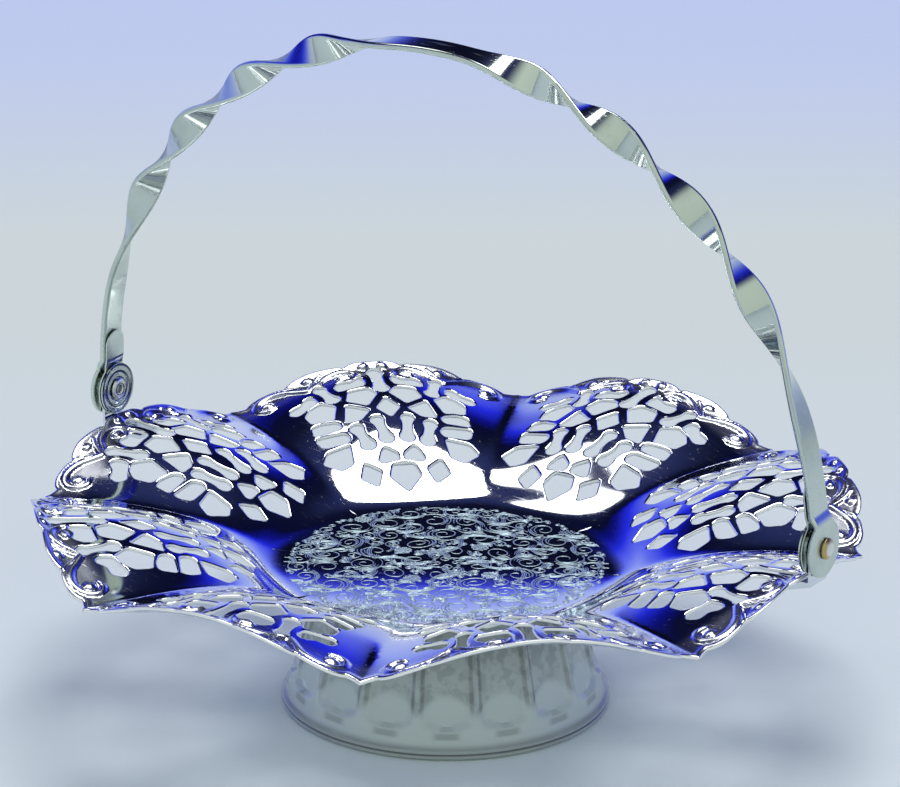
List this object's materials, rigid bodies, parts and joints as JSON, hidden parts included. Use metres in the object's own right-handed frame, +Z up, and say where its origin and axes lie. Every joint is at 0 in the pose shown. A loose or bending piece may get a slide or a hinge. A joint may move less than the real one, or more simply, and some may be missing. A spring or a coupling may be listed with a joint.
{
  "type": "bonbon bowl",
  "caption": "Chrome-plated pierced and lobed sweet dish on a fluted pressed-glass foot, with a twisted strip swing handle on riveted rim lugs.",
  "frame": {"origin": "centre of the foot's base ring on the table", "axes": "+Z up; +X along the handle's pivot axis, towards the hinge that the picture shows on the right; the handle leans towards -Y"},
  "size_m": [0.2304, 0.2186, 0.1828],
  "materials": {
    "chrome": "bright chrome plate over pressed brass or steel sheet",
    "handle_chrome": "chrome plate, lightly worn, a little softer than the dish",
    "glass": "clear pressed glass with a fire-polished surface",
    "steel": "plain zinc-grey steel",
    "gasket": "matte cork and rubber sheet",
    "fibre": "matte red vulcanised fibre",
    "brass": "worn plated brass"
  },
  "bodies": {
    "dish_and_foot": {"pierced_bowl": "chrome", "glass_foot": "glass", "mounting_stud": "steel", "cork_gasket": "gasket", "fibre_washer": "fibre", "steel_washer": "steel", "hex_nut": "steel", "rim_lug_right": "chrome", "rim_lug_left": "chrome"},
    "handle": {"handle_strip": "handle_chrome", "inner_leaf_right": "handle_chrome", "inner_leaf_left": "handle_chrome", "ring_washer_right": "handle_chrome", "ring_washer_left": "handle_chrome", "pivot_rivet_right": "brass", "pivot_rivet_left": "brass"}
  },
  "joints": [
    {"name": "handle_swing", "type": "hinge", "parent": "dish_and_foot", "child": "handle", "pos_m": [0, 0, 0.0668], "axis": [1, 0, 0], "range_deg": [-97, 88]}
  ]
}
